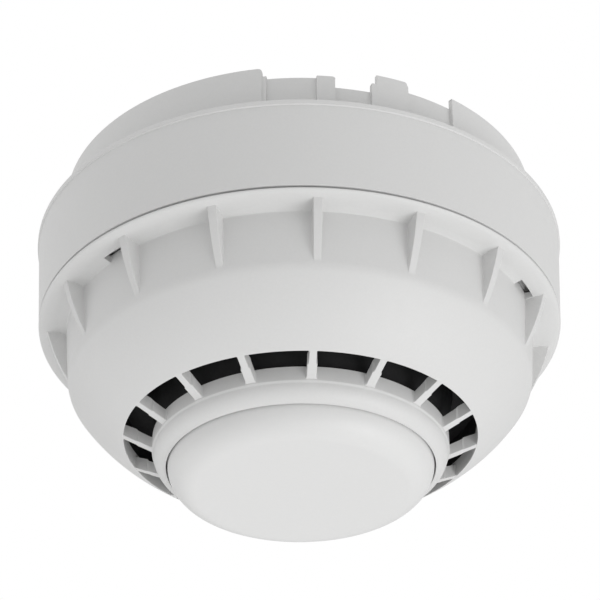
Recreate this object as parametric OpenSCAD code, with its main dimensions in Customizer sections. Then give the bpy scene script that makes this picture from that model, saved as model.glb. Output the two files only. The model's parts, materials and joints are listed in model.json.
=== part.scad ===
// Ceiling heat detector: a twist-off sensing head on a surface mounting base.
// Z is the axis of the detector. z = 0 is the ceiling and everything hangs below it.
// A "drop" is a distance below the ceiling. A "bearing" is an angle in degrees about the
// axis, 0 at -Y and growing towards +X.

/* [Head shell] */
// Radius of the band at its top edge, the widest place
band_r = 60; // [59.8:0.1:60.4]
// Drop of the band's top edge
band_drop = 13.3; // [13:0.1:13.6]
// Radius of the band at the seam
seam_r = 58; // [57.9:0.1:58.2]
// Drop of the seam between the band and the front cover
seam_drop = 34.4; // [34.2:0.1:34.6]
// Width of the dark line at the seam
seam_gap = 0.35; // [0.2:0.05:0.4]
// Wall thickness of the moulded shells
wall = 2; // [1.8:0.1:2]

/* [Front cover] */
// Drop of the underside of the lip
lip_drop = 36.2; // [36:0.1:36.5]
// Radius of the wall at the back of the rib pockets
pocket_r = 52.4; // [52.2:0.1:52.6]
// Radius of the round edge under the lip
lip_round = 1.5; // [1.2:0.1:1.5]
// Ribs and vent fins around the cover
rib_count = 16; // [16]
// Thickness of a rib at its top
rib_top_t = 2; // [1.8:0.1:2.2]
// Thickness of a rib at its foot
rib_foot_t = 1.5; // [1.3:0.1:1.7]
// Radius of the bowl's outline
bowl_arc_r = 44.7; // [44.6:0.1:44.8]
// Thickness of a vent fin
fin_t = 1.6; // [1.4:0.1:1.8]

/* [Vent ring and cap] */
// Radius of the outer edge of the vents
vent_out_r = 38.8; // [38.6:0.1:39]
// Drop of the outer edge of the vents
vent_out_drop = 61.9; // [61.8:0.1:62]
// Radius of the inner edge of the vents
vent_in_r = 32.3; // [32.2:0.1:32.4]
// Drop of the inner edge of the vents
vent_in_drop = 65; // [64.9:0.1:65.1]
// Radius of the cap at its groove
cap_r = 29.1; // [29:0.05:29.15]
// Drop of the groove around the cap
groove_drop = 68.9; // [68.8:0.1:69]
// Drop of the cap's flat face, the lowest point
cap_drop = 74.2; // [74:0.1:74.4]

/* [Base] */
// Radius of the castellated skirt
skirt_r = 54; // [53.8:0.1:54.2]
// Drop of the top of the base plate
plate_drop = 6; // [5.8:0.1:6]
// Radius of the cable entry
cable_r = 12; // [10:0.5:12]
// Distance between the wide pair of fixing slots
wide_fixing = 60; // [58:1:62]
// Distance between the narrow pair of fixing slots
narrow_fixing = 50; // [48:1:52]
// Width of a fixing slot
slot_w = 4.6; // [4.2:0.1:4.8]
// Length of a fixing slot
slot_l = 12; // [10:0.5:12]

/* [Terminals] */
// Distance of each terminal screw from the axis
terminal_r = 33; // [32.5:0.1:33.5]
// Radius of a terminal screw
screw_r = 1.7; // [1.5:0.05:1.75]

/* [Hidden] */
$fn = 96;
eps = 0.01;
embed = 0.5; // depth that one feature of a moulding is rooted in the next
fit_gap = 0.03; // between two mouldings of the head that are pushed together
pitch = 360 / rib_count;

// Clearances: two bodies that turn on each other, a pin in its hole, a part laid on a part.
running_gap = 0.3;
pin_gap = 0.05;

// Bowl outline: an arc whose centre lies off the axis, so that the bowl is a zone of a torus.
bowl_arc_x = vent_out_r - 24.69;
bowl_arc_drop = vent_out_drop - sqrt(pow(bowl_arc_r, 2) - pow(vent_out_r - bowl_arc_x, 2));
function bowl_drop(r, in = 0) =
    bowl_arc_drop + sqrt(pow(bowl_arc_r - in, 2) - pow(r - bowl_arc_x, 2));
function bowl_r(drop, in = 0) =
    bowl_arc_x + sqrt(pow(bowl_arc_r - in, 2) - pow(drop - bowl_arc_drop, 2));
crease_drop = bowl_drop(pocket_r);

// Cap ring: an arc that leaves the vents straight down and turns under to the groove.
ring_rise = groove_drop - vent_in_drop;
ring_in_r = cap_r + 0.3;
ring_run = vent_in_r - ring_in_r;
ring_arc_r = (pow(ring_rise, 2) + pow(ring_run, 2)) / (2 * ring_run);
ring_top_drop = vent_in_drop - 4;
cap_arc_r = 6.2;
cap_t = 1.7;

// Base
plate_t = 2;
plate_under = plate_drop + plate_t;
skirt_in_r = skirt_r - wall;
skirt_foot = 18.5;
recess_r = skirt_r - 0.9;
rim_t = 1;
pad_w = slot_w + 5;
pad_l = slot_l + 6;

// Bayonet: lugs on the head's collar rest on ledges of the base.
lug_r = skirt_in_r - 0.4;
ledge_in_r = lug_r - 1.7;
collar_r = ledge_in_r - 0.3;
collar_t = 2;
collar_top = 11.5;
lug_drop = 12.3;
lug_t = 2;
ledge_drop = lug_drop + lug_t + running_gap;
lug_arc = 16;
ledge_arc = 20;
lug_bearings = [30, 150, 270];

// Terminals
terminal_bearings = [45, 135, 225, 315];
pedestal_foot = plate_under + 2;
spring_t = 0.5;
clamp_drop = pedestal_foot + spring_t + 1;
clamp_t = 1.1;
clamp_half = 4.2;
screw_head_r = 3.3;
screw_head_t = 2.2;
wiper_x = 18.5;
wiper_drop = 19.2;

// Head, from the deck down
deck_drop = 20;
deck_t = 2;
deck_r = 57.5;
seat_r = 55;
seat_t = 1.5;
deck_under = deck_drop + deck_t;
contact_t = 0.5;
board_drop = 25.5;
board_t = 1.6;
board_under = board_drop + board_t;
board_r = 46;
board_post_r = 41;
post_bearings = [0, 120, 240];
cover_top = seam_drop + seam_gap;

// Snap hooks of the front cover, with a slot in the lip below each barb.
slot_ribs = [-45, 67.5, 180];
slot_arc = 9;
slot_out_r = pocket_r + 1.8;
hook_in_r = 54.6;
hook_out_r = 56;
barb_drop = 29.3;
barb_t = 1.8;
catch_in_r = 51.2;
catch_out_r = 52.5;

// Address switches
dial_x = 8;
dial_r = 2.8;
dial_top = 17.8;
switch_top = 18.6;
switch_half = 5;

// Air shroud
roof_drop = 50;
roof_t = 1.5;
roof_under = roof_drop + roof_t;
roof_r = 46.9;
apron_foot = vent_out_drop - 4.4;
drum_top_r = 33.8;
drum_foot_r = 31.4;
drum_t = 1.5;
shroud_boss_r = 43;
shroud_bearings = [33.75, 146.25, 258.75];
sensor_drop = 56.4;
sensor_r = 26.5;
sensor_post_r = 22;
ribbon_y = -15;
ribbon_w = 12;

// Sensing thermistor, in a vent window on the side away from the front
bead_bearing = 168.75;
bead_r = 35.4;
bead_drop = 58.6;
lead_half = 0.7;

// ---- Shared shapes ----

module at(bearing) rotate([0, 0, bearing - 90]) children();

// Outline of a ring's section in the half plane of radius and z
module slab(r0, r1, d0, d1) translate([r0, -d1]) square([r1 - r0, d1 - d0]);

module ring(r0, r1, d0, d1) rotate_extrude() slab(r0, r1, d0, d1);

module arc_ring(r0, r1, d0, d1, from, to)
    at(from) rotate_extrude(angle = to - from) slab(r0, r1, d0, d1);

module rod(r, d0, d1) translate([0, 0, -d1]) cylinder(r = r, h = d1 - d0);

module block(x, y, d0, d1) translate([-x / 2, -y / 2, -d1]) cube([x, y, d1 - d0]);

// Stands an outline of radius and z up as a plate of thickness t, centred on its bearing
module plate(t) rotate([90, 0, 0]) linear_extrude(t, center = true) children();

// Stands an outline of tangent and z up, from radius x outwards by w
module strip(x, w) translate([x, 0, 0]) rotate([90, 0, 90]) linear_extrude(w) children();

// Straight slot along X with round ends
module slot(l, w, d0, d1) {
    for (side = [-1, 1]) translate([side * (l - w) / 2, 0, 0]) rod(w / 2, d0, d1);
    block(l - w, w, d0, d1);
}

// Pan-head screw with a cross recess. The head lies below drop d.
module screw(shank_r, head_r, head_t, tip, d) {
    difference() {
        union() {
            rod(shank_r, tip, d + eps);
            rod(head_r, d, d + head_t);
        }
        for (turn = [0, 90])
            rotate([0, 0, turn]) block(head_r * 1.3, head_r * 0.28, d + head_t * 0.45, d + head_t + 1);
    }
}

// ---- Base ----

// Stretches of the skirt's rim that are cut down: drop, then the bearings from and to.
// A shallow cut runs a little way into the deeper one beside it.
rim_cuts = [[1.95, -12.1, -11], [2.3, -11.15, 4.7], [4.6, 4.6, 12.95], [2.75, 12.8, 14.2],
    [0.35, 14.1, 22], [2.3, 21.9, 34.4]];

// Stretches of the skirt's outer face that are set back: radius, then the bearings
face_cuts = [[skirt_r - 0.3, -12.1, -11], [recess_r, -11.15, 0.25], [recess_r, 4.6, 12.85],
    [recess_r, 22.3, 34.3]];

// The rim is thinned from inside, and deeper behind one tab: drop, then the bearings
rim_relief = 2.2;
deep_relief = [4.5, 12.4, 21.75];

module skirt() difference() {
    ring(skirt_in_r, skirt_r, 0, skirt_foot);
    for (c = rim_cuts) arc_ring(skirt_in_r - 1, skirt_r + 1, -1, c[0], c[1], c[2]);
    for (c = face_cuts) arc_ring(c[0], skirt_r + 1, -1, skirt_foot + 1, c[1], c[2]);
    ring(skirt_in_r - 1, skirt_r - rim_t, -1, rim_relief);
    arc_ring(skirt_in_r - 1, skirt_r - rim_t - 0.1, -1, deep_relief[0], deep_relief[1], deep_relief[2]);
}

module bayonet_ledges() {
    for (b = lug_bearings) {
        arc_ring(ledge_in_r, skirt_in_r + embed, ledge_drop, ledge_drop + 2, b, b + ledge_arc + 1);
        arc_ring(ledge_in_r + 0.2, skirt_in_r + embed, lug_drop - 1, ledge_drop + 1.8,
            b + ledge_arc, b + ledge_arc + 2);
    }
}

module fixing_pad() block(pad_l, pad_w, 0, plate_under);

module fixing_places() {
    for (side = [-1, 1]) {
        translate([side * wide_fixing / 2, 0, 0]) children();
        translate([0, side * narrow_fixing / 2, 0]) rotate([0, 0, 90]) children();
    }
}

module mounting_base() color("gainsboro") difference() {
    union() {
        skirt();
        ring(cable_r, skirt_in_r + embed, plate_drop, plate_under);
        ring(cable_r, cable_r + 1.6, plate_drop + embed, plate_under + 2);
        bayonet_ledges();
        fixing_places() fixing_pad();
        for (b = terminal_bearings) at(b) translate([terminal_r, 1, 0])
            block(11, 14, plate_drop + embed, pedestal_foot);
    }
    fixing_places() slot(slot_l, slot_w, -1, plate_under + 1);
    fixing_places() slot(slot_l - slot_w + 9.4, 9.4, plate_under - 1.2, plate_under + 1);
    for (b = terminal_bearings) at(b) translate([terminal_r, 0, 0])
        rod(screw_r + pin_gap, plate_drop - 1, pedestal_foot + 1);
}

// Leaf spring: a flat leg on its pedestal, then a finger that bends down to a round wiper
module terminal_spring() color("goldenrod") difference() {
    strip(terminal_r - 3, 6) polygon([
        [-6, -pedestal_foot], [7, -pedestal_foot], [wiper_x - 2.5, -wiper_drop + 1.2],
        [wiper_x, -wiper_drop + spring_t], [wiper_x + 2.5, -wiper_drop + 2],
        [wiper_x + 2.9, -wiper_drop + 1.6], [wiper_x, -wiper_drop],
        [wiper_x - 2.8, -wiper_drop + 0.75], [6.8, -pedestal_foot - spring_t],
        [-6, -pedestal_foot - spring_t]
    ]);
    translate([terminal_r, 0, 0]) rod(screw_r + 0.3, pedestal_foot - 1, pedestal_foot + 2);
}

module clamp_plate() color("silver") translate([terminal_r, 0, 0]) difference() {
    intersection() {
        block(2 * clamp_half, 2 * clamp_half, clamp_drop, clamp_drop + clamp_t);
        rotate([0, 0, 45]) block(2.5 * clamp_half, 2.5 * clamp_half, clamp_drop - 1, clamp_drop + 5);
    }
    rod(screw_r + pin_gap, clamp_drop - 1, clamp_drop + clamp_t + 1);
}

module terminal_screw() color("silver") translate([terminal_r, 0, 0])
    screw(screw_r, screw_head_r, screw_head_t, plate_drop + 0.4, clamp_drop + clamp_t + 0.1);

// ---- Head shell ----

// Band: a tapered ring with an inward seat that rests on the rim of the deck
module outer_band() color("gainsboro") rotate_extrude() polygon([
    [band_r - wall, -band_drop], [band_r - 0.3, -band_drop], [band_r, -band_drop - 1.2],
    [seam_r, -seam_drop], [seam_r - wall + 0.2, -seam_drop], [band_r - wall, -deck_drop],
    [seat_r, -deck_drop], [seat_r, -deck_drop + seat_t], [band_r - wall, -deck_drop + seat_t]
]);

// Collar with the three bayonet lugs
module lock_collar() color("gainsboro") {
    ring(collar_r - collar_t, collar_r, collar_top, deck_drop);
    for (b = lug_bearings) arc_ring(collar_r - embed, lug_r, lug_drop, lug_drop + lug_t,
        b + (ledge_arc - lug_arc), b + ledge_arc - 0.5);
}

// Deck with the catches for the cover's hooks and the posts of the main board
module rear_body() color("gainsboro") difference() {
    union() {
        rod(deck_r, deck_drop, deck_under);
        for (b = slot_ribs) {
            arc_ring(catch_in_r, catch_out_r, deck_under - embed, 33.6, b - slot_arc - 3, b + 3);
            arc_ring(catch_out_r - embed, slot_out_r, barb_drop + barb_t + 0.3, 33.2,
                b - slot_arc - 2, b + 2);
        }
        for (b = post_bearings) at(b) translate([board_post_r, 0, 0])
            rod(3, deck_under - embed, board_drop);
    }
    for (b = post_bearings) at(b) translate([board_post_r, 0, 0])
        rod(1.25, deck_under + 0.5, board_drop + 1);
    for (side = [-1, 1]) translate([side * dial_x, 0, 0])
        block(2 * switch_half + 0.4, 2 * switch_half + 0.4, deck_drop - 1, deck_under + 1);
    for (b = terminal_bearings) at(b + 42) translate([(34.5 + 41) / 2, 0, 0])
        rod(0.9, deck_drop - 1, deck_under + 1);
}

// Region under the bowl's outline, drawn in by a distance
module bowl_region(in) intersection() {
    translate([bowl_arc_x, -bowl_arc_drop]) circle(r = bowl_arc_r - in, $fn = 180);
    slab(0, pocket_r - in, cover_top, vent_out_drop + 10);
}

module bowl_section() difference() {
    bowl_region(0);
    intersection() {
        bowl_region(wall);
        slab(0, 100, cover_top - 1, vent_out_drop - 2.2);
    }
    slab(0, vent_out_r, cover_top - 1, vent_out_drop + 20);
}

// Lip: flush with the band, then a round edge to a flat underside
module lip_section() {
    slab(pocket_r - wall, seam_r - lip_round, cover_top, lip_drop);
    intersection() {
        translate([seam_r - lip_round, -lip_drop + lip_round]) circle(r = lip_round);
        slab(seam_r - lip_round - eps, seam_r, cover_top, lip_drop);
    }
}

// Ring inside the vents: a wall with a round shoulder down to the cap's groove
module cap_ring() color("whitesmoke") rotate_extrude() {
    slab(ring_in_r + 1, vent_in_r, ring_top_drop, vent_in_drop);
    intersection() {
        translate([vent_in_r - ring_arc_r, -vent_in_drop]) circle(r = ring_arc_r, $fn = 96);
        slab(ring_in_r, vent_in_r, vent_in_drop - eps, groove_drop);
    }
}

// Rib: outer edge on an arc from the lip down to the crease, thinner towards its foot
rib_arc_r = 47.8;
rib_arc_x = 11.65;
rib_arc_drop = 22.3;
module rib() intersection() {
    plate(rib_top_t) intersection() {
        translate([rib_arc_x, -rib_arc_drop]) circle(r = rib_arc_r, $fn = 180);
        slab(pocket_r - 1, seam_r, cover_top + 0.2, crease_drop + 1);
    }
    strip(pocket_r - 1.5, 10) polygon([
        [-rib_top_t / 2, -cover_top], [rib_top_t / 2, -cover_top],
        [rib_foot_t / 2, -crease_drop - 1], [-rib_foot_t / 2, -crease_drop - 1]
    ]);
}

// Fins: the half near the cap ring is thicker and stands taller than the outer half
fin_slope = (vent_in_drop - vent_out_drop) / (vent_out_r - vent_in_r);
fin_mid_r = 35.7;
function fin_foot(r) = vent_out_drop - 0.15 + fin_slope * (vent_out_r - r);
module fin_outline(r0, r1, rise) polygon([
    [r0, -fin_foot(r0)], [r1, -fin_foot(r1)],
    [r1, -fin_foot(r1) + rise], [r0, -fin_foot(r0) + rise]
]);
module vent_fins() color("whitesmoke") for (i = [0:rib_count - 1]) at(i * pitch) {
    plate(fin_t) fin_outline(fin_mid_r - embed, vent_out_r - fit_gap, 3.9);
    plate(fin_t + 0.3) fin_outline(vent_in_r + fit_gap, fin_mid_r, 4.5);
}

// Spigot that centres the cover in the band, with three snap hooks standing on it
hook_arc = slot_arc - 0.5;
module spigot_and_hooks() {
    difference() {
        ring(hook_in_r, hook_out_r, barb_drop, cover_top + embed);
        for (i = [0:2]) {
            hook_end = slot_ribs[i] - slot_arc + hook_arc;
            next_hook = slot_ribs[(i + 1) % 3] - slot_arc + (i == 2 ? 360 : 0);
            arc_ring(hook_in_r - 1, hook_out_r + 1, barb_drop - 1, seam_drop - 1.6, hook_end, next_hook);
        }
    }
    for (b = slot_ribs) arc_ring(slot_out_r - 1, hook_in_r + embed, barb_drop + 0.3, barb_drop + barb_t,
        b - slot_arc + 0.5, b - slot_arc + hook_arc - 0.5);
}

module front_cover() color("whitesmoke") difference() {
    union() {
        rotate_extrude() {
            bowl_section();
            lip_section();
            slab(vent_out_r, vent_out_r + 1.4, vent_out_drop - 3.9, vent_out_drop - 1.2);
        }
        for (i = [0:rib_count - 1]) at(i * pitch) rib();
        spigot_and_hooks();
        for (b = shroud_bearings) intersection() {
            at(b) translate([shroud_boss_r, 0, 0]) rod(2.2, roof_under, vent_out_drop);
            rotate_extrude() bowl_region(0.8);
        }
    }
    for (b = slot_ribs) arc_ring(pocket_r + 0.1, slot_out_r, cover_top - 0.5, lip_drop + 0.5,
        b - slot_arc, b - 1.1);
    for (b = shroud_bearings) at(b) translate([shroud_boss_r, 0, 0])
        rod(1.15, roof_under - 1, roof_under + 3.6);
}

// Cap: a shallow cup whose rim snaps into the ring wall
module cap_section() difference() {
    union() {
        intersection() {
            translate([cap_r - cap_arc_r, -cap_drop + cap_arc_r]) circle(r = cap_arc_r);
            slab(cap_r - cap_arc_r, cap_r, cap_drop - cap_arc_r, cap_drop);
        }
        slab(0, cap_r - cap_arc_r + eps, cap_drop - cap_t, cap_drop);
        slab(cap_r - cap_t, cap_r, vent_in_drop - 2, cap_drop - cap_arc_r + eps);
        slab(cap_r - 0.5, cap_r + 0.9, vent_in_drop - 2, vent_in_drop - 0.6);
    }
    intersection() {
        translate([cap_r - cap_arc_r, -cap_drop + cap_arc_r]) circle(r = cap_arc_r - cap_t);
        slab(cap_r - cap_arc_r, cap_r, cap_drop - cap_arc_r - 1, cap_drop);
    }
    slab(0, cap_r - cap_t, vent_in_drop - 3, cap_drop - cap_arc_r);
}

module indicator_cap() color("white") rotate_extrude() cap_section();

// ---- Contacts and main board ----

module contact_plate() color("goldenrod") {
    arc_ring(34.5, 41, deck_drop - contact_t, deck_drop, 25, 46);
    at(42) translate([(34.5 + 41) / 2, 0, 0]) rod(0.6, deck_drop - eps, board_drop - eps);
}

module main_board() color("darkgreen") difference() {
    rod(board_r, board_drop, board_under);
    for (b = post_bearings) at(b) translate([board_post_r, 0, 0])
        rod(1.4, board_drop - 1, board_under + 1);
    at(bead_bearing) for (side = [-1, 1]) translate([bead_r, side * lead_half, 0])
        rod(0.45, board_drop - 1, board_under + 1);
}

module board_screws() color("silver") for (b = post_bearings)
    at(b) translate([board_post_r, 0, 0]) screw(1.2, 2.4, 1.8, deck_under + 0.8, board_under);

module chip(x, y, w, l, h) translate([x, y, 0]) block(w, l, board_under, board_under + h);

// Chip body with a row of pins along each long side
module leaded_chip(x, y, w, l, h, pins) {
    chip(x, y, w, l, h);
    for (i = [0:pins - 1], side = [-1, 1])
        translate([x + side * (w / 2 + 0.45), y + (i - (pins - 1) / 2) * l / pins, 0])
            block(0.95, l / pins * 0.45, board_under, board_under + h * 0.45);
}

module microcontroller() color("dimgray") leaded_chip(14, 12, 9, 10, 1.5, 9);
module isolator_chip() color("dimgray") leaded_chip(-16, 12, 4, 5, 1.5, 4);
module line_rectifier() color("dimgray") leaded_chip(-26, 2, 5, 6, 2.6, 2);

module storage_capacitor() color("darkblue") translate([-14, -22, 0]) {
    block(10.2, 10.2, board_under, board_under + 1.5);
    rod(5, board_under + 1.5 - eps, board_under + 10.5);
}

module choke() color("dimgray") translate([24, -16, 0]) {
    rod(4, board_under, board_under + 0.8);
    rod(2.4, board_under, board_under + 5);
    rod(4, board_under + 4.2, board_under + 5);
}

module crystal() color("silver") translate([5, 20, 0]) slot(10, 4, board_under, board_under + 3.4);

module chip_resistors() color("dimgray") for (i = [0:6])
    chip(-8 + 3.4 * i, 29, 1.3, 2.1, 0.55);

module chip_capacitors() color("tan") for (i = [0:5])
    chip(31, -5 + 3.2 * i, 2.2, 1.4, 0.9);

// ---- Address switches ----

module switch_housing() color("royalblue") difference() {
    block(2 * switch_half, 2 * switch_half, switch_top, board_drop);
    rod(dial_r + pin_gap, switch_top - 1, switch_top + 2.2);
}

// Dial with a screwdriver slot and one flat that marks where it points
module address_dial() color("white") difference() {
    rod(dial_r, dial_top, switch_top + 2);
    block(4.4, 0.8, dial_top - 1, dial_top + 0.8);
    translate([dial_r, 0, 0]) block(0.9, 3, dial_top - 1, switch_top - 0.1);
}

// ---- Shroud and sensor board ----

// Shroud: a roof over the vents, with a drum behind the cap ring and an apron behind the bowl
module air_shroud() color("black") difference() {
    union() {
        rod(roof_r, roof_drop, roof_under);
        for (b = post_bearings) at(b) translate([sensor_post_r, 0, 0])
            rod(2.6, roof_under - eps, sensor_drop);
    }
    for (b = post_bearings) at(b) translate([sensor_post_r, 0, 0])
        rod(1.05, roof_under + 0.5, sensor_drop + 1);
    for (b = shroud_bearings) at(b) translate([shroud_boss_r, 0, 0])
        rod(1.4, roof_drop - 1, roof_under + 1);
    translate([0, ribbon_y, 0]) block(ribbon_w + 2, 3, roof_drop - 1, roof_under + 1);
    at(bead_bearing) translate([bead_r, 0, 0]) rod(1.5, roof_drop - 1, roof_under + 1);
}

module shroud_drum() color("black") rotate_extrude() polygon([
    [drum_top_r, -roof_under], [drum_foot_r, -ring_top_drop],
    [drum_foot_r - drum_t, -ring_top_drop], [drum_top_r - drum_t, -roof_under]
]);

module shroud_apron() color("black") ring(vent_out_r + 0.6, vent_out_r + 1.9, roof_under, apron_foot);

module draught_seal() color("dimgray") ring(roof_r - 1.2, bowl_r(roof_drop, wall) - 0.1,
    roof_drop - 1.2, roof_drop);

module shroud_screws() color("silver") for (b = shroud_bearings)
    at(b) translate([shroud_boss_r, 0, 0]) mirror([0, 0, 1]) translate([0, 0, 2 * roof_drop])
        screw(1.1, 2.4, 1.6, roof_drop - 4.4, roof_drop);

module sensor_board() color("darkgreen") difference() {
    rod(sensor_r, sensor_drop, sensor_drop + board_t);
    for (b = post_bearings) at(b) translate([sensor_post_r, 0, 0])
        rod(1.25, sensor_drop - 1, sensor_drop + board_t + 1);
}

module sensor_board_screws() color("silver") for (b = post_bearings)
    at(b) translate([sensor_post_r, 0, 0])
        screw(1, 2.2, 1.6, roof_under + 0.8, sensor_drop + board_t);

module alarm_leds() color("red") for (side = [-1, 1]) translate([side * 7, 0, 0]) {
    rod(1.9, sensor_drop + board_t, sensor_drop + board_t + 0.8);
    rod(1.5, sensor_drop + board_t, sensor_drop + board_t + 3.4);
    translate([0, 0, -sensor_drop - board_t - 3.4]) sphere(r = 1.5);
}

module main_connector() color("ivory") translate([0, ribbon_y, 0]) difference() {
    block(ribbon_w + 3, 5, board_under, board_under + 4.5);
    block(ribbon_w + 0.2, 0.9, board_under + 1.5, board_under + 6);
}

module board_connector() color("ivory") translate([0, ribbon_y, 0]) difference() {
    block(ribbon_w + 1.2, 2.4, sensor_drop - 4.5, sensor_drop);
    block(ribbon_w + 0.2, 0.9, sensor_drop - 6, sensor_drop - 1.5);
}

module ribbon_cable() color("silver") translate([0, ribbon_y, 0])
    block(ribbon_w, 0.6, board_under + 1.7, sensor_drop - 1.7);

module reference_thermistor() color("black") translate([0, 13, 0])
    block(2.2, 1.4, sensor_drop + board_t, sensor_drop + board_t + 0.9);

module sensing_thermistor() color("black") at(bead_bearing) translate([bead_r, 0, -bead_drop])
    sphere(r = 1.4);

module thermistor_leads() color("silver") at(bead_bearing)
    for (side = [-1, 1]) translate([bead_r, side * lead_half, 0])
        rod(0.3, board_drop - 0.8, bead_drop - 1.25);

// Bush that holds the leads where they pass through the shroud's roof
module thermistor_bush() color("dimgray") at(bead_bearing) translate([bead_r, 0, 0]) difference() {
    union() {
        rod(2.4, roof_drop - 1.4, roof_drop);
        rod(1.45, roof_drop - eps, roof_under + 3);
    }
    for (side = [-1, 1]) translate([0, side * lead_half, 0]) rod(0.35, roof_drop - 2, roof_under + 4);
}

// ---- One line per node ----

mounting_base();
for (i = [0:3]) {
    at(terminal_bearings[i]) terminal_spring();
    at(terminal_bearings[i]) clamp_plate();
    at(terminal_bearings[i]) terminal_screw();
    rotate([0, 0, terminal_bearings[i]]) contact_plate();
}
rear_body();
lock_collar();
outer_band();
front_cover();
vent_fins();
cap_ring();
indicator_cap();
main_board();
board_screws();
microcontroller();
isolator_chip();
line_rectifier();
storage_capacitor();
choke();
crystal();
chip_resistors();
chip_capacitors();
translate([-dial_x, 0, 0]) switch_housing();  // switch_housing_tens
translate([dial_x, 0, 0]) switch_housing();  // switch_housing_units
translate([-dial_x, 0, 0]) address_dial();  // address_dial_tens
translate([dial_x, 0, 0]) address_dial();  // address_dial_units
main_connector();
ribbon_cable();
board_connector();
air_shroud();
shroud_drum();
shroud_apron();
draught_seal();
shroud_screws();
sensor_board();
sensor_board_screws();
alarm_leds();
reference_thermistor();
sensing_thermistor();
thermistor_leads();
thermistor_bush();
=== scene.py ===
import json
import math

import bmesh
import bpy
import numpy as np
from mathutils import Matrix, Vector


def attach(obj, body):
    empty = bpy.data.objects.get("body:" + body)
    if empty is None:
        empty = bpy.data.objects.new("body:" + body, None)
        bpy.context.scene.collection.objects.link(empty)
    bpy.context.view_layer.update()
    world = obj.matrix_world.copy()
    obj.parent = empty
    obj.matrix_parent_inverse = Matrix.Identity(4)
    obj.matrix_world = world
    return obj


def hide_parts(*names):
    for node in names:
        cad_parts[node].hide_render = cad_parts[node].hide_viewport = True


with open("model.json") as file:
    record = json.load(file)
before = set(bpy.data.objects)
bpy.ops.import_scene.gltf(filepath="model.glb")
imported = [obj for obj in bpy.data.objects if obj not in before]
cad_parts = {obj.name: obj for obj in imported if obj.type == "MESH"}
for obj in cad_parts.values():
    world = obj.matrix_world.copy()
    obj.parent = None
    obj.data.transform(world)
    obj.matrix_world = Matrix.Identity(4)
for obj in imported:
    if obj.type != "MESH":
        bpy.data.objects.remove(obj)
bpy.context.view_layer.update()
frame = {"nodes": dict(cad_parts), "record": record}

NODES = frame["nodes"]

# Sizes are in millimetres. They repeat part.scad, except that the seam, lip, crease, ribs, ring
# and fins are refined here. A drop is a distance below the ceiling, and a bearing is an angle
# about the axis in degrees, 0 at -Y and growing towards +X.
BAND_R, BAND_DROP, EDGE_DROP = 60.0, 13.3, 14.5
SEAM_R, SEAM_DROP, SEAM_INNER_R = 58.7, 34.3, 56.2
COVER_TOP, LIP_TOP = 34.75, 34.85
DECK_DROP, WALL, SEAT_R, SEAT_T = 20.0, 2.0, 55.0, 1.5
LIP_MID, LIP_DROP = (58.6, 35.9), 36.4
POCKET_R, CREASE_R = 52.4, 51.6
BOWL_R, BOWL_X = 44.7, 14.11
VENT_OUT_R, VENT_OUT_DROP = 38.8, 61.9
VENT_IN_R, VENT_IN_DROP = 32.3, 65.0
RING_TOP_DROP = 61.8
GROOVE_R, GROOVE_DROP = 29.4, 68.9
CAP_R, CAP_DROP, CAP_ARC, CAP_T = 29.1, 74.2, 6.2, 1.7
RIB_X, RIB_DROP, RIB_ARC = 10.4, 23.6, 47.8
RIB_TOP_T, RIB_FOOT_T, RIB_FOOT = 2.0, 1.5, 48.7
FIN_MID_R, FIN_NEAR_T, FIN_FAR_T = 35.7, 2.04, 1.6
SKIRT_R, SKIRT_IN_R, SKIRT_FOOT = 54.0, 52.0, 18.5
RIBS = 16
PITCH = 360.0 / RIBS
SLOT_RIBS = (-45.0, 67.5, 180.0)
SLOT_OUT_R, SLOT_OUT_DROP = 54.2, 36.05
# Cuts in the rim as (drop, start, stop), and steps in the skirt's outer face as (radius, start, stop)
RIM_CUTS = (
    (1.95, -12.1, -11.0), (2.3, -11.15, 4.7), (4.6, 4.6, 12.95),
    (2.75, 12.8, 14.2), (0.35, 14.1, 22.0), (2.3, 21.9, 34.4),
)
FACE_CUTS = ((53.7, -12.1, -11.0), (53.1, -11.15, 0.25), (53.1, 4.6, 12.95), (53.1, 22.3, 34.4))
# Where the rim is thinned from inside to RIM_T, as (drop, start, stop)
RIM_RELIEFS = ((2.2, -360.0, 360.0), (4.5, 12.4, 21.75))
RIM_T = 1.0
# How far a corner of the rim is rounded and how far its side leans, in mm, by its bearing
CORNERS = {-12.1: (1.0, 0.04), 4.6: (0.7, 0.04), 12.95: (0.35, 0.04), 21.9: (0.6, 0.5)}
SHARP_CORNER = (0.12, 0.04)
BOWL_CENTRE_DROP = VENT_OUT_DROP - math.sqrt(BOWL_R**2 - (VENT_OUT_R - BOWL_X) ** 2)


# ---- Mesh tools ----

def polar(radius, bearing, drop):
    """Points in metres from radii, bearings and drops."""
    angle = np.radians(bearing)
    x, y, z = np.broadcast_arrays(radius * np.sin(angle), -radius * np.cos(angle), -np.asarray(drop, float))
    return np.stack([x, y, z], axis=-1) / 1000.0


def arc(centre_r, centre_drop, radius, start, stop, steps):
    """Outline points (r, drop) on an arc. 0 degrees points outwards and 90 downwards."""
    a = np.radians(np.linspace(start, stop, steps + 1))
    return np.stack([centre_r + radius * np.cos(a), centre_drop + radius * np.sin(a)], axis=1)


def line(p, q, steps):
    """Outline points from p to q, without q."""
    t = np.linspace(0.0, 1.0, steps + 1)[:-1, None]
    return np.asarray(p, float) * (1 - t) + np.asarray(q, float) * t


def bend(p, corner, q, steps):
    """Outline points that round a corner off, from p to q."""
    t = np.linspace(0.0, 1.0, steps + 1)[:, None]
    p, corner, q = (np.asarray(v, float) for v in (p, corner, q))
    return p * (1 - t) ** 2 + corner * 2 * t * (1 - t) + q * t**2


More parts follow.
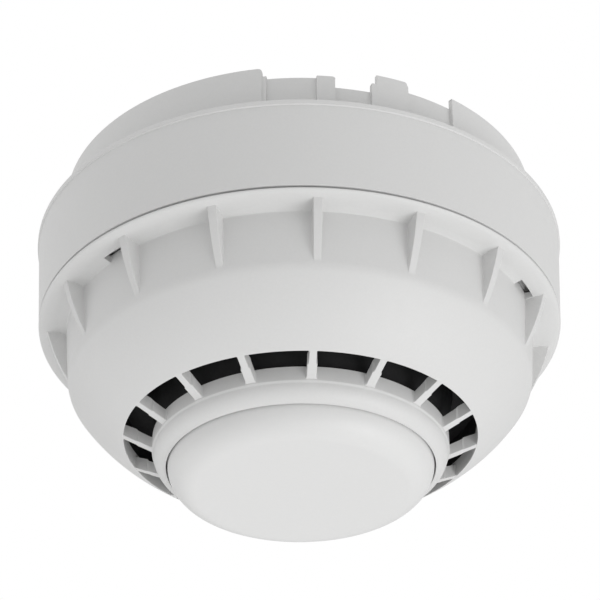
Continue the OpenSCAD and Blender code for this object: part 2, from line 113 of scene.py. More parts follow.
class Moulding:
    """Collects grids of points into one mesh."""

    def __init__(self):
        self.points = []
        self.faces = []
        self.total = 0

    def grid(self, points, round_u=False, round_v=False, keep=None, flip=False):
        """Adds a grid of shape (u, v, 3). keep(u, v) says which quads stay."""
        nu, nv = points.shape[:2]
        first = self.total
        self.points.append(points.reshape(-1, 3))
        self.total += nu * nv
        for u in range(nu if round_u else nu - 1):
            for v in range(nv if round_v else nv - 1):
                if keep is not None and not keep(u, v):
                    continue
                a, b = first + u * nv, first + ((u + 1) % nu) * nv
                quad = (a + v, b + v, b + (v + 1) % nv, a + (v + 1) % nv)
                self.faces.append(quad[::-1] if flip else quad)

    def lathe(self, outline, segments=288):
        """Adds a closed ring whose section is the outline."""
        outline = np.asarray(outline, float)
        bearing = np.arange(segments) * 360.0 / segments
        self.grid(polar(outline[None, :, 0], bearing[:, None], outline[None, :, 1]), True, True)

    def lid(self, ring):
        """Closes a ring of points with one face."""
        first = self.total
        self.points.append(ring)
        self.total += len(ring)
        self.faces.append(tuple(range(first, first + len(ring))))

    def mesh(self, source):
        """Adds another mesh as it is."""
        co = np.zeros(len(source.vertices) * 3)
        source.vertices.foreach_get("co", co)
        first = self.total
        self.points.append(co.reshape(-1, 3))
        self.total += len(source.vertices)
        self.faces += [tuple(first + i for i in p.vertices) for p in source.polygons]

    def build(self, name, material, body, replaced):
        """Makes the Blender object, closes doubled points and faces it outwards."""
        mesh = bpy.data.meshes.new(name)
        mesh.from_pydata(np.concatenate(self.points).tolist(), [], self.faces)
        bm = bmesh.new()
        bm.from_mesh(mesh)
        bmesh.ops.remove_doubles(bm, verts=bm.verts, dist=1e-6)
        bmesh.ops.dissolve_degenerate(bm, edges=bm.edges, dist=1e-7)
        bmesh.ops.recalc_face_normals(bm, faces=bm.faces)
        bm.to_mesh(mesh)
        bm.free()
        piece = bpy.data.objects.new(name, mesh)
        bpy.context.scene.collection.objects.link(piece)
        mesh.materials.append(material)
        soften(piece)
        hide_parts(*replaced)
        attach(piece, body)
        return piece


def soften(piece, sharp=38.0):
    """Smooth shading that follows the large faces, with creases kept."""
    piece.data.shade_smooth()
    piece.data.set_sharp_from_angle(angle=math.radians(sharp))
    weighted = piece.modifiers.new("even_normals", "WEIGHTED_NORMAL")
    weighted.keep_sharp = True
    weighted.weight = 60


def round_edges(piece, width_mm, segments=2):
    """Welds a CAD mesh's split corners and rounds its edges."""
    weld = piece.modifiers.new("weld", "WELD")
    weld.merge_threshold = 2e-6
    bevel = piece.modifiers.new("edges", "BEVEL")
    bevel.width = width_mm / 1000.0
    bevel.segments = segments
    bevel.limit_method = "ANGLE"
    bevel.angle_limit = math.radians(35.0)
    bevel.use_clamp_overlap = True


def cad_faces(node, wanted, width_mm):
    """A copy of a CAD node's faces whose points all pass wanted(r, drop), with rounded edges."""
    mesh = NODES[node].data.copy()
    mesh.materials.clear()
    bm = bmesh.new()
    bm.from_mesh(mesh)
    bmesh.ops.remove_doubles(bm, verts=bm.verts, dist=2e-6)
    unwanted = []
    for face in bm.faces:
        places = [(math.hypot(v.co.x, v.co.y) * 1000, -v.co.z * 1000) for v in face.verts]
        if not all(wanted(r, d) for r, d in places):
            unwanted.append(face)
    bmesh.ops.delete(bm, geom=unwanted, context="FACES")
    bm.to_mesh(mesh)
    bm.free()
    helper = bpy.data.objects.new("helper", mesh)
    bpy.context.scene.collection.objects.link(helper)
    round_edges(helper, width_mm)
    graph = bpy.context.evaluated_depsgraph_get()
    made = bpy.data.meshes.new_from_object(helper.evaluated_get(graph))
    bpy.data.objects.remove(helper)
    return made


# ---- Materials ----

def node_of(tree, kind, **values):
    """Adds a shader node and sets its inputs by name."""
    made = tree.nodes.new(kind)
    for key, value in values.items():
        if hasattr(made, key):
            setattr(made, key, value)
        else:
            made.inputs[key.replace("_", " ")].default_value = value
    return made


def noise(tree, coordinates, scale, detail=3.0, roughness=0.55):
    """A noise texture's value over the coordinates."""
    made = node_of(tree, "ShaderNodeTexNoise", Scale=scale, Detail=detail, Roughness=roughness)
    tree.links.new(coordinates, made.inputs["Vector"])
    return made.outputs["Fac"]


def ramp(tree, source, low, high, stops=(0.3, 0.7)):
    """Maps a texture value onto two colours or two greys."""
    made = tree.nodes.new("ShaderNodeValToRGB")
    made.color_ramp.elements[0].position = stops[0]
    made.color_ramp.elements[1].position = stops[1]
    for element, colour in zip(made.color_ramp.elements, (low, high)):
        rgb = colour if isinstance(colour, tuple) else (colour, colour, colour)
        element.color = (*rgb, 1.0)
    tree.links.new(source, made.inputs["Fac"])
    return made.outputs["Color"]


def mix(tree, kind, amount, a, b):
    """Two colours mixed by a blend type."""
    made = node_of(tree, "ShaderNodeMix", data_type="RGBA", blend_type=kind)
    made.inputs["Factor"].default_value = amount
    tree.links.new(a, made.inputs["A"])
    tree.links.new(b, made.inputs["B"])
    return made.outputs["Result"]


def surface(name, colour, spread, rough, grain, bump, mottle=18.0, metallic=0.0, **sockets):
    """A moulded, plated or printed surface: slow mottling and a fine grain in the colour, uneven
    roughness and a fine bump. grain is the grain's size in mm and bump its depth in mm."""
    made = bpy.data.materials.new(name)
    made.use_nodes = True
    tree = made.node_tree
    shader = tree.nodes["Principled BSDF"]
    where = tree.nodes.new("ShaderNodeTexCoord").outputs["Object"]
    fine = 1000.0 / grain
    slow = ramp(tree, noise(tree, where, mottle), tuple(c * (1 - spread) for c in colour), colour)
    speck = ramp(tree, noise(tree, where, fine, 2.0), 1.0 - spread * 1.6, 1.0)
    tree.links.new(mix(tree, "MULTIPLY", 1.0, slow, speck), shader.inputs["Base Color"])
    patch = ramp(tree, noise(tree, where, fine * 0.3), rough[0], rough[1])
    tree.links.new(patch, shader.inputs["Roughness"])
    relief = node_of(tree, "ShaderNodeBump", Strength=1.0, Distance=bump / 1000.0)
    tree.links.new(noise(tree, where, fine, 2.0, 0.5), relief.inputs["Height"])
    tree.links.new(relief.outputs["Normal"], shader.inputs["Normal"])
    shader.inputs["Metallic"].default_value = metallic
    for key, value in sockets.items():
        shader.inputs[key.replace("_", " ")].default_value = value
    made.diffuse_color = (*colour, 1.0)
    return made


MATERIALS = {
    "housing_white": surface("housing_plastic", (0.70, 0.70, 0.695), 0.012, (0.46, 0.56), 0.55, 0.006),
    "cap_white": surface("cap_plastic", (0.73, 0.73, 0.725), 0.008, (0.44, 0.52), 0.6, 0.003),
    "shroud_black": surface("shroud_plastic", (0.010, 0.010, 0.011), 0.25, (0.55, 0.7), 0.5, 0.01),
    "tinned_brass": surface("spring_brass", (0.72, 0.6, 0.38), 0.1, (0.24, 0.38), 0.25, 0.001, metallic=1.0),
    "zinc_steel": surface("zinc_plate", (0.66, 0.67, 0.69), 0.08, (0.22, 0.36), 0.3, 0.001, metallic=1.0),
    "board_green": surface("solder_resist", (0.02, 0.15, 0.06), 0.18, (0.28, 0.42), 0.2, 0.003),
    "chip_black": surface("chip_epoxy", (0.025, 0.025, 0.027), 0.25, (0.42, 0.58), 0.12, 0.004),
    "can_steel": surface("drawn_can", (0.74, 0.75, 0.77), 0.05, (0.22, 0.32), 0.2, 0.001, metallic=1.0),
    "capacitor_sleeve": surface("shrink_sleeve", (0.02, 0.04, 0.10), 0.12, (0.25, 0.36), 0.5, 0.002),
    "ferrite": surface("sintered_ferrite", (0.055, 0.055, 0.06), 0.3, (0.5, 0.7), 0.15, 0.006),
    "ceramic_tan": surface("ceramic_body", (0.46, 0.34, 0.21), 0.12, (0.35, 0.5), 0.15, 0.002),
    "switch_blue": surface("switch_nylon", (0.04, 0.13, 0.40), 0.08, (0.32, 0.44), 0.4, 0.003),
    "dial_white": surface("dial_acetal", (0.82, 0.81, 0.75), 0.03, (0.35, 0.48), 0.4, 0.003),
    "connector_ivory": surface("connector_nylon", (0.74, 0.70, 0.58), 0.05, (0.36, 0.5), 0.4, 0.003),
    "ribbon_grey": surface("flat_cable", (0.38, 0.40, 0.42), 0.06, (0.4, 0.52), 0.6, 0.004),
    "seal_foam": surface("closed_foam", (0.06, 0.06, 0.065), 0.35, (0.75, 0.95), 0.45, 0.08),
    "led_red": surface(
        "led_epoxy", (0.5, 0.02, 0.02), 0.05, (0.08, 0.14), 0.5, 0.001, Transmission_Weight=0.4
    ),
    "bead_black": surface("dipped_epoxy", (0.025, 0.025, 0.027), 0.2, (0.2, 0.3), 0.3, 0.002),
}


# ---- Front cover ----

def rounded_profile():
    """The front cover's outside from the seam to the vents, as rows of (r, drop)."""
    edge = 0.12
    fillet = 0.3
    lip = bend((SEAM_R, LIP_TOP + edge), LIP_MID, (SLOT_OUT_R, SLOT_OUT_DROP), 12)[:-1]
    under_slot = line((SLOT_OUT_R, SLOT_OUT_DROP), (POCKET_R + fillet, LIP_DROP), 2)
    corner = arc(POCKET_R + fillet, LIP_DROP + fillet, fillet, -90.0, -180.0, 4)[:-1]
    crease_drop = BOWL_CENTRE_DROP + math.sqrt(BOWL_R**2 - (CREASE_R - BOWL_X) ** 2)
    crease_turn = math.degrees(math.atan2(crease_drop - BOWL_CENTRE_DROP, CREASE_R - BOWL_X))
    soft = 1.3
    wall = line((POCKET_R, LIP_DROP + fillet), (CREASE_R, crease_drop - soft), 12)
    bowl_start = crease_turn + math.degrees(soft / BOWL_R)
    bowl_stop = math.degrees(math.atan2(VENT_OUT_DROP - BOWL_CENTRE_DROP, VENT_OUT_R - BOWL_X))
    bowl = arc(BOWL_X, BOWL_CENTRE_DROP, BOWL_R, bowl_start, bowl_stop - 0.33, 40)
    crease = bend((CREASE_R, crease_drop - soft), (CREASE_R, crease_drop), bowl[0], 6)[:-1]
    rim = bend(bowl[-1], (VENT_OUT_R, VENT_OUT_DROP), (VENT_OUT_R, VENT_OUT_DROP - 0.26), 4)[1:]
    top = bend((SEAM_R - edge, LIP_TOP), (SEAM_R, LIP_TOP), lip[0], 3)[:-1]
    rows = np.concatenate([top, lip, under_slot, corner, wall, crease, bowl, rim])
    slot_start = len(top) + len(lip)
    slot_stop = slot_start + len(under_slot) + len(corner)
    return rows, slot_start, slot_stop


def rib_edges(rows):
    """For each row, the point on the ribs' outer edge that its point moves to, or the point itself."""
    away = np.hypot(rows[:, 0] - RIB_X, rows[:, 1] - RIB_DROP)
    covered = np.where((away < RIB_ARC) & (rows[:, 0] > CREASE_R - 0.05))[0]
    first, last = covered[0] - 1, covered[-1] + 1
    steps = np.hypot(*np.diff(rows[first : last + 1], axis=0).T)
    share = np.concatenate([[0.0], np.cumsum(steps)]) / steps.sum()
    start = math.atan2(rows[first, 1] - RIB_DROP, rows[first, 0] - RIB_X)
    stop = math.atan2(rows[last, 1] - RIB_DROP, rows[last, 0] - RIB_X)
    angle = start + (stop - start) * share
    edges = rows.copy()
    edges[first : last + 1, 0] = RIB_X + RIB_ARC * np.cos(angle)
    edges[first : last + 1, 1] = RIB_DROP + RIB_ARC * np.sin(angle)
    edges[first] = rows[first]
    edges[last] = rows[last]
    return edges


# Radii of a rib's edges and of its foot, and the columns between two ribs as shares of the way
CONVEX, CONCAVE = 0.13, 0.12
FREE = (0.05, 0.13, 0.24, 0.37, 0.5, 0.635, 0.772, 0.89)
SLOT_COLUMNS = 7


def rib_side():
    """Steps from the middle of a rib's edge down its side to its foot. Each is the offset from its
    side, None at the middle, and the share of CONVEX below the edge or of CONCAVE above the wall."""
    steps = [(None, 0.0, None)]
    for turn in (0.0, 22.5, 45.0, 67.5, 90.0):
        a = math.radians(turn)
        steps.append((-CONVEX + CONVEX * math.sin(a), 1.0 - math.cos(a), None))
    for turn in (0.0, 22.5, 45.0, 67.5, 90.0):
        a = math.radians(turn)
        steps.append((0.02 + CONCAVE - CONCAVE * math.cos(a), None, 1.0 - math.sin(a)))
    return steps


def cover_grid(rows, edges):
    """Points of the ribbed outside, the columns in a sector, and the columns in half of one."""
    reach = edges - rows
    height = np.hypot(reach[:, 0], reach[:, 1])
    direction = reach / np.maximum(height, 1e-9)[:, None]
    shrink = np.minimum(1.0, height / (CONVEX + CONCAVE + 0.05))
    foot = rows[:, 1]
    half = []
    for offset, convex, concave in rib_side():
        if concave is None:
            rise = height - CONVEX * shrink * convex
        else:
            rise = CONCAVE * shrink * concave
        place = rows + direction * rise[:, None]
        taper = (np.clip(place[:, 1], COVER_TOP, RIB_FOOT) - COVER_TOP) / (RIB_FOOT - COVER_TOP)
        half_t = (RIB_TOP_T + (RIB_FOOT_T - RIB_TOP_T) * taper) / 2
        tangent = np.zeros_like(half_t) if offset is None else half_t + offset
        half.append((place[:, 0], np.degrees(np.arcsin(tangent / place[:, 0])), place[:, 1]))
    last = half[-1][1]
    for share in FREE:
        half.append((rows[:, 0], last + (PITCH / 2 - last) * share, foot))
    middle = (rows[:, 0], np.full(len(rows), PITCH / 2), foot)
    sector = [(r, -b, d) for r, b, d in half[:0:-1]] + half + [middle]
    columns = []
    for k in range(RIBS):
        columns += [(r, b + k * PITCH, d) for r, b, d in sector]
    points = np.stack([polar(r, b, d) for r, b, d in columns])
    return points, len(sector), len(half)


def slot_run(bearing, width, half):
    """Columns across the lip's opening beside a rib, from its far end to the rib's foot."""
    centre = int(round(bearing / PITCH)) % RIBS * width + half - 1
    foot = centre - len(rib_side()) + 1
    return [column % (RIBS * width) for column in range(foot - SLOT_COLUMNS, foot + 1)]


def make_cover():
    """The whole cover as one mesh: ribbed outside, inside, ring, fins, and the CAD's hooks and bosses."""
    cover = Moulding()
    outside, slot_start, slot_stop = rounded_profile()
    inner_r = BOWL_R - WALL
    inner_rim = VENT_OUT_R + 1.4
    inner_x = inner_rim - BOWL_X
    inner_start = math.degrees(math.atan2(math.sqrt(inner_r**2 - inner_x**2), inner_x))
    inner_stop = math.degrees(math.acos((POCKET_R - WALL - BOWL_X) / inner_r))
    inside = np.concatenate([
        line((VENT_OUT_R, VENT_OUT_DROP - 0.6), (VENT_OUT_R, VENT_OUT_DROP - 3.9), 2),
        [(VENT_OUT_R, VENT_OUT_DROP - 3.9), (inner_rim, VENT_OUT_DROP - 3.9)],
        arc(BOWL_X, BOWL_CENTRE_DROP, inner_r, inner_start, inner_stop, 16),
        line((POCKET_R - WALL, 45.0), (POCKET_R - WALL, COVER_TOP), 2),
        [(POCKET_R - WALL, COVER_TOP), (POCKET_R, COVER_TOP), (SLOT_OUT_R, COVER_TOP)],
        [(55.6, COVER_TOP)],
    ])
    rows = np.concatenate([outside, inside])
    edges = np.concatenate([rib_edges(outside), inside])
    points, width, half = cover_grid(rows, edges)
    top_start = len(rows) - 3
    runs = [slot_run(bearing, width, half) for bearing in SLOT_RIBS]
    slot_columns = {column for run in runs for column in run[:-1]}

    def keep(u, v):
        in_slot = u in slot_columns
        return not (in_slot and (slot_start <= v < slot_stop or v == top_start))

    cover.grid(points, True, True, keep)
    for run in runs:
        low = points[run][:, slot_start]
        high = points[run][:, top_start + 1]
        cover.grid(np.stack([low, high], axis=1))
        low = points[run][:, slot_stop]
        high = points[run][:, top_start]
        cover.grid(np.stack([low, high], axis=1))
        for end in (run[0], run[-1]):
            side = points[end, slot_start : slot_stop + 1]
            inner, outer = points[end, top_start], points[end, top_start + 1]
            share = np.linspace(0.0, 1.0, len(side))[:, None]
            cover.grid(np.stack([side, outer * (1 - share) + inner * share], axis=0))
    cover.lathe(ring_outline())
    for k in range(RIBS):
        add_fin(cover, k * PITCH)
    hooks = cad_faces("front_cover", lambda r, d: d < COVER_TOP + 0.52 and 52.5 < r < 56.2, 0.15)
    cover.mesh(hooks)
    bosses = cad_faces("front_cover", lambda r, d: d < 57.5 and d > 45.0 and 40.5 < r < 45.3, 0.1)
    cover.mesh(bosses)
    replaced = ("front_cover", "vent_fins", "cap_ring")
    return cover.build("cover_shell", MATERIALS["housing_white"], "head", replaced)


def ring_outline():
    """Section of the ring inside the vents: wall, narrow ledge, round shoulder, groove and inside."""
    ledge = 0.22
    rise, run = GROOVE_DROP - VENT_IN_DROP, VENT_IN_R - GROOVE_R
    radius = (rise**2 + run**2) / (2 * run)
    stop = math.degrees(math.asin(rise / radius))
    shoulder = arc(VENT_IN_R - radius, VENT_IN_DROP, radius, 6.0, stop - 1.5, 20)
    wall_r = VENT_IN_R + ledge
    wall = line((wall_r, RING_TOP_DROP), (wall_r, VENT_IN_DROP - 0.12), 3)
    lip = bend((wall_r, VENT_IN_DROP - 0.12), (wall_r, VENT_IN_DROP + 0.1), shoulder[0], 4)
    groove = bend(shoulder[-1], (GROOVE_R, GROOVE_DROP), (GROOVE_R, GROOVE_DROP - 0.2), 3)[1:]
    inside = [(GROOVE_R, VENT_IN_DROP), (GROOVE_R + 1.0, VENT_IN_DROP), (GROOVE_R + 1.0, RING_TOP_DROP)]
    return np.concatenate([wall, lip, shoulder[1:], groove, inside])


def add_fin(cover, bearing):
    """A vent fin: thicker near the ring, flared where it meets the walls, with a slight ridge
    where its two halves join."""
    slope = (VENT_IN_DROP - VENT_OUT_DROP) / (VENT_OUT_R - VENT_IN_R)
    near, far = FIN_NEAR_T / 2, FIN_FAR_T / 2
    # Radius, half the thickness and height above the foot
    stations = (
        (VENT_IN_R - 0.4, near + 0.28, 2.6), (VENT_IN_R + 0.24, near + 0.23, 2.6),
        (VENT_IN_R + 0.34, near + 0.08, 2.6), (VENT_IN_R + 0.55, near, 2.6),
        (FIN_MID_R - 0.6, near, 2.7), (FIN_MID_R - 0.25, near + 0.06, 2.7),
        (FIN_MID_R - 0.05, near + 0.04, 2.75), (FIN_MID_R + 0.15, far + 0.04, 3.05),
        (FIN_MID_R + 0.45, far, 3.1), (VENT_OUT_R - 0.35, far, 2.9),
        (VENT_OUT_R - 0.12, far + 0.08, 2.9), (VENT_OUT_R + 0.02, far + 0.25, 2.9),
        (VENT_OUT_R + 0.5, far + 0.4, 2.9),
    )
    loops = []
    for r, half, rise in stations:
        foot = VENT_OUT_DROP - 0.15 + slope * (VENT_OUT_R - r)
        soft = 0.18
        ring = []
        for turn in (0.0, 30.0, 60.0, 90.0):
            a = math.radians(turn)
            ring.append((half - soft + soft * math.cos(a), foot - soft + soft * math.sin(a)))
        ring += [(-t, d) for t, d in ring[::-1]]
        ring += [(-half + 0.05, foot - rise), (half - 0.05, foot - rise)]
        turned = [(math.hypot(r, t), bearing + math.degrees(math.atan2(t, r)), d) for t, d in ring]
        loops.append([polar(*place) for place in turned])
    points = np.array(loops)
    cover.grid(points, False, True)
    cover.lid(points[0])
    cover.lid(points[-1])


# ---- Cap, band and base ----

def make_cap():
    """The cap as a shallow cup, with its flat middle closed by a face outside and one inside."""
    centre_r, centre_drop = CAP_R - CAP_ARC, CAP_DROP - CAP_ARC
    shoulder = arc(centre_r, centre_drop, CAP_ARC, 0.0, 90.0, 24)
    inner = arc(centre_r, centre_drop, CAP_ARC - CAP_T, 90.0, 0.0, 10)
    rim = VENT_IN_DROP - 2.0
    middle = 0.4
    segments = 256
    outline = np.concatenate([
        line((CAP_R - 0.1, rim), (CAP_R + 0.9, rim), 1),
        [(CAP_R + 0.9, rim), (CAP_R + 0.9, rim + 1.4), (CAP_R, rim + 1.4)],
        line((CAP_R, rim + 1.6), (CAP_R, centre_drop), 3),
        shoulder,
        line((centre_r - 2.0, CAP_DROP), (middle, CAP_DROP), 8),
        [(middle, CAP_DROP), (middle, CAP_DROP - CAP_T)],
        line((4.0, CAP_DROP - CAP_T), (centre_r, CAP_DROP - CAP_T), 3),
        inner,
        [(CAP_R - CAP_T, rim)],
    ])
    cap = Moulding()
    cap.lathe(outline, segments)
    bearing = np.arange(segments) * 360.0 / segments
    cap.lid(polar(middle, bearing, CAP_DROP))
    cap.lid(polar(middle, bearing, CAP_DROP - CAP_T))
    return cap.build("cap_shell", MATERIALS["cap_white"], "head", ("indicator_cap",))


def make_band():
    """The band: a straight strip, a small ledge and a taper down to the seam."""
    start = BAND_R - 0.3
    slope = (start - SEAM_R) / (SEAM_DROP - EDGE_DROP)
    inner = BAND_R - WALL
    soft = 0.12

    def face(drop):
        return start - slope * (drop - EDGE_DROP)

    outline = np.concatenate([
        bend((inner, BAND_DROP + 0.25), (inner, BAND_DROP), (inner + 0.25, BAND_DROP), 3),
        bend((BAND_R - 0.35, BAND_DROP), (BAND_R, BAND_DROP), (BAND_R, BAND_DROP + 0.35), 5),
        bend((BAND_R, EDGE_DROP - soft), (BAND_R, EDGE_DROP), (BAND_R - 0.1, EDGE_DROP + 0.04), 3),
        [(face(EDGE_DROP + 0.14), EDGE_DROP + 0.14)],
        [(face(d), d) for d in np.linspace(EDGE_DROP + 0.7, SEAM_DROP - 0.4, 12)],
        bend((face(SEAM_DROP - soft), SEAM_DROP - soft), (SEAM_R, SEAM_DROP), (SEAM_R - soft, SEAM_DROP), 3),
        [(SEAM_INNER_R, SEAM_DROP), (inner, DECK_DROP), (SEAT_R, DECK_DROP)],
        [(SEAT_R, DECK_DROP - SEAT_T), (inner, DECK_DROP - SEAT_T)],
    ])
    band = Moulding()
    band.lathe(outline, 360)
    return band.build("band_shell", MATERIALS["housing_white"], "head", ("outer_band",))


def outer_face(bearing):
    """Radius of the skirt's outer face at a bearing."""
    found = SKIRT_R
    for radius, start, stop in FACE_CUTS:
        if start <= bearing <= stop:
            found = min(found, radius)
    return found


def rim_depth(bearing):
    """How far the rim is cut down at a bearing."""
    return max([0.0] + [cut for cut, start, stop in RIM_CUTS if start < bearing < stop])


def rim_path():
    """The rim once round as rows of (bearing, drop), with each tab's corners rounded."""
    degree = math.radians(1.0) * SKIRT_R
    marks = sorted({m for _, start, stop in RIM_CUTS for m in (start, stop)})
    steps = [(m, rim_depth(m - 0.01), rim_depth(m + 0.01)) for m in marks]
    steps = [step for step in steps if step[1] != step[2]]
    path = [(steps[-1][0] + 6.0 - 360.0, steps[-1][2])]
    for mark, before, after in steps:
        tall, deep = min(before, after), max(before, after)
        radius, lean = CORNERS.get(mark, SHARP_CORNER)
        soft = min(radius, (deep - tall) * 0.55)
        root = min(0.15, (deep - tall) * 0.3)
        sign = 1 if after > before else -1
        turn = []
        for a in np.radians(np.linspace(0.0, 90.0, 6)):
            along = soft * math.sin(a) - soft
            turn.append((mark + sign * along / degree, tall + soft - soft * math.cos(a)))
        for a in np.radians(np.linspace(0.0, 90.0, 4)):
            along = lean + root - root * math.cos(a)
            turn.append((mark + sign * along / degree, deep - root + root * math.sin(a)))
        turn = turn[::sign]
        path += level_run(path[-1][0], turn[0][0], before)[:-1] + turn
    path += level_run(path[-1][0], path[0][0] + 360.0, path[0][1])[:-1]
    return with_stations(np.array(path), degree)


def level_run(start, stop, drop, step=1.25):
    """Points along a level stretch of the rim, without its first."""
    count = max(1, int(round((stop - start) / step)))
    return [(start + (stop - start) * k / count, drop) for k in range(1, count + 1)]


def with_stations(path, degree):
    """Adds stations beside each step of the outer face, and where the rim crosses a relief's edge."""
    extra = []
    for mark in sorted({m for _, start, stop in FACE_CUTS for m in (start, stop)}):
        for side in (-0.06, 0.06):
            bearing = mark + side / degree
            extra.append((bearing, np.interp(bearing, path[:, 0], path[:, 1])))
    for level in sorted({drop for drop, _, _ in RIM_RELIEFS}):
        for p, q in zip(path[:-1], path[1:]):
            if min(p[1], q[1]) < level - 0.02 and max(p[1], q[1]) > level + 0.02:
                for drop in (level - 0.01, level + 0.01):
                    share = (drop - p[1]) / (q[1] - p[1])
                    extra.append((p[0] + (q[0] - p[0]) * share, drop))
    path = np.concatenate([path, extra])
    return path[np.argsort(path[:, 0], kind="stable")]


def rim_normals(path):
    """At each point of the rim, the direction down into the wall, as (along, down)."""
    along = path * (math.radians(1.0) * SKIRT_R, 1.0)
    ahead = np.diff(along, axis=0, append=along[:1] + ((2.0 * math.pi * SKIRT_R, 0.0),))
    ahead /= np.maximum(np.hypot(*ahead.T), 1e-9)[:, None]
    tangent = ahead + np.roll(ahead, 1, axis=0)
    tangent /= np.maximum(np.hypot(*tangent.T), 1e-9)[:, None]
    return np.stack([-tangent[:, 1], tangent[:, 0]], axis=1)


def make_base():
    """The castellated skirt as one strip whose rim follows the tabs, and the CAD plate inside it."""
    degree = math.radians(1.0) * SKIRT_R
    path = rim_path()
    inward = rim_normals(path)
    soft = 0.1
    foot, low = SKIRT_FOOT, SKIRT_FOOT - 6.0
    loops = []
    for (bearing, drop), (along, down) in zip(path, inward):
        outer = outer_face(bearing)
        relief = max(depth for depth, start, stop in RIM_RELIEFS if start <= bearing <= stop)
        thinned = drop < relief
        inner = SKIRT_R - RIM_T if thinned else SKIRT_IN_R
        ledge = max(relief, drop + 0.2)
        loop = [polar(SKIRT_IN_R, bearing, foot), polar(outer - 0.2, bearing, foot)]
        loop += [polar(outer, bearing, foot - 0.2), polar(outer, bearing, low)]
        rim_inner = min(inner, outer - 2 * soft)
        edges = [(outer, -1, turn) for turn in (0.0, 45.0, 90.0)]
        edges += [(rim_inner, 1, turn) for turn in (90.0, 0.0)]
        for edge, side, turn in edges:
            back = soft * (1 - math.cos(math.radians(turn)))
            rise = soft * (1 - math.sin(math.radians(turn)))
            loop.append(polar(edge + side * back, bearing + along * rise / degree, drop + down * rise))
        loop += [polar(inner, bearing, ledge), polar(SKIRT_IN_R, bearing, ledge + 0.01)]
        loop.append(polar(SKIRT_IN_R, bearing, low))
        loops.append(loop)
    base = Moulding()
    base.grid(np.array(loops), True, True)

    def inside(r, drop):
        return r < SKIRT_IN_R - 0.05 or (r < SKIRT_IN_R + 0.6 and 5.9 < drop < 17.0)

    base.mesh(cad_faces("mounting_base", inside, 0.15))
    return base.build("base_shell", MATERIALS["housing_white"], "base", ("mounting_base",))


make_cover()
make_cap()
make_band()
make_base()

# ---- Finish of the CAD nodes that stay ----

SLOTS = {row["node"]: row["material_slot"] for row in frame["record"]["subparts"]}
for name, node in NODES.items():
    node.data.materials.clear()
    node.data.materials.append(MATERIALS[SLOTS[name]])
    if node.hide_render:
        continue
    if name not in ("shroud_drum", "shroud_apron", "sensing_thermistor", "draught_seal"):
        round_edges(node, 0.1)
    soften(node)

# ---- Studio ----

# Where the camera is, in metres, and its yaw, tilt and roll in degrees
CAMERA_PLACE = (-0.0306, -0.4268, -0.2961)
CAMERA_TURNS = (4.12, 32.367, -0.54)


def make_floor():
    """A plain pale floor far below the detector."""
    mesh = bpy.data.meshes.new("floor")
    reach, level = 3.0, -1.1
    corners = [(x * reach, y * reach, level) for x, y in ((-1, -1), (1, -1), (1, 1), (-1, 1))]
    mesh.from_pydata(corners, [], [(0, 1, 2, 3)])
    floor = bpy.data.objects.new("floor", mesh)
    bpy.context.scene.collection.objects.link(floor)
    paint = surface("floor_paint", (0.86, 0.86, 0.86), 0.01, (0.7, 0.8), 4.0, 0.01, mottle=1.5)
    mesh.materials.append(paint)


def soft_light(name, azimuth, elevation, watts, size=0.5, distance=1.0):
    """A square soft light that faces the detector. Azimuth 0 stands at -Y and 90 at +X."""
    data = bpy.data.lights.new(name, "AREA")
    data.energy = watts
    data.size = size
    lamp = bpy.data.objects.new(name, data)
    bpy.context.scene.collection.objects.link(lamp)
    a, e = math.radians(azimuth), math.radians(elevation)
    away = Vector((math.sin(a) * math.cos(e), -math.cos(a) * math.cos(e), math.sin(e)))
    target = Vector((0.0, 0.0, -0.04))
    lamp.location = target + away * distance
    lamp.rotation_mode = "QUATERNION"
    lamp.rotation_quaternion = (-away).to_track_quat("-Z", "Y")


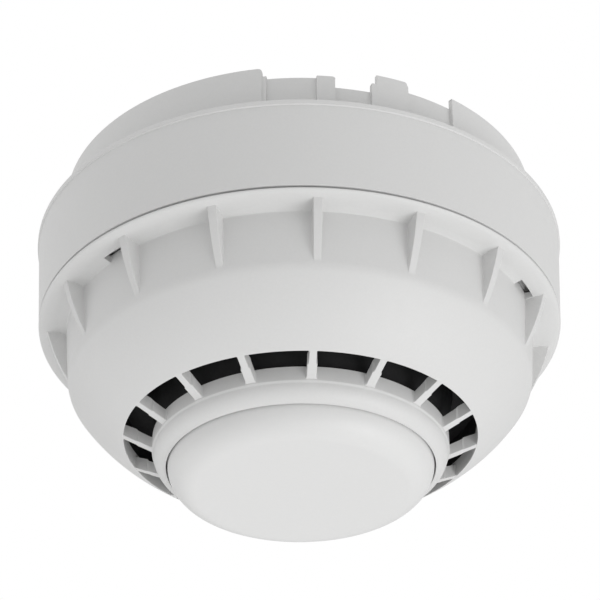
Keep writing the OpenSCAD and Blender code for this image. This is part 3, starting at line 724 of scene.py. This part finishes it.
def make_world():
    """White where the camera looks straight at it, and a source of light that fades downwards."""
    world = bpy.data.worlds.new("studio")
    bpy.context.scene.world = world
    world.use_nodes = True
    tree = world.node_tree
    tree.nodes.clear()
    out = tree.nodes.new("ShaderNodeOutputWorld")
    path = tree.nodes.new("ShaderNodeLightPath")
    seen = node_of(tree, "ShaderNodeBackground", Color=(1.0, 1.0, 1.0, 1.0), Strength=1.0)
    fill = node_of(tree, "ShaderNodeBackground", Color=(1.0, 1.0, 1.0, 1.0), Strength=1.0)
    height = tree.nodes.new("ShaderNodeSeparateXYZ")
    rise = node_of(tree, "ShaderNodeMapRange")
    rise.inputs["From Min"].default_value = -1.0
    rise.inputs["To Max"].default_value = 1.11
    tree.links.new(tree.nodes.new("ShaderNodeTexCoord").outputs["Generated"], height.inputs[0])
    tree.links.new(height.outputs["Z"], rise.inputs["Value"])
    tree.links.new(rise.outputs["Result"], fill.inputs["Strength"])
    choose = tree.nodes.new("ShaderNodeMixShader")
    tree.links.new(path.outputs["Is Camera Ray"], choose.inputs[0])
    tree.links.new(fill.outputs[0], choose.inputs[1])
    tree.links.new(seen.outputs[0], choose.inputs[2])
    tree.links.new(choose.outputs[0], out.inputs[0])


def make_camera():
    """A camera below and in front of the detector, looking up at it."""
    data = bpy.data.cameras.new("camera")
    data.lens = 133.1
    data.sensor_width = 36.0
    camera = bpy.data.objects.new("camera", data)
    bpy.context.scene.collection.objects.link(camera)
    yaw, tilt, roll = (math.radians(angle) for angle in CAMERA_TURNS)
    ahead = Vector((math.sin(yaw) * math.cos(tilt), math.cos(yaw) * math.cos(tilt), math.sin(tilt)))
    right = Vector((math.cos(yaw), -math.sin(yaw), 0.0))
    up = right.cross(ahead)
    turned = right * math.cos(roll) + up * math.sin(roll)
    raised = up * math.cos(roll) - right * math.sin(roll)
    basis = Matrix((turned, raised, -ahead)).transposed()
    camera.matrix_world = Matrix.Translation(CAMERA_PLACE) @ basis.to_4x4()
    bpy.context.scene.camera = camera


make_floor()
soft_light("key", 60.0, -45.0, 3.5, 0.6)
soft_light("rim", -120.0, -15.0, 1.15, 0.6)
make_world()
make_camera()
bpy.context.scene.view_settings.view_transform = "Standard"
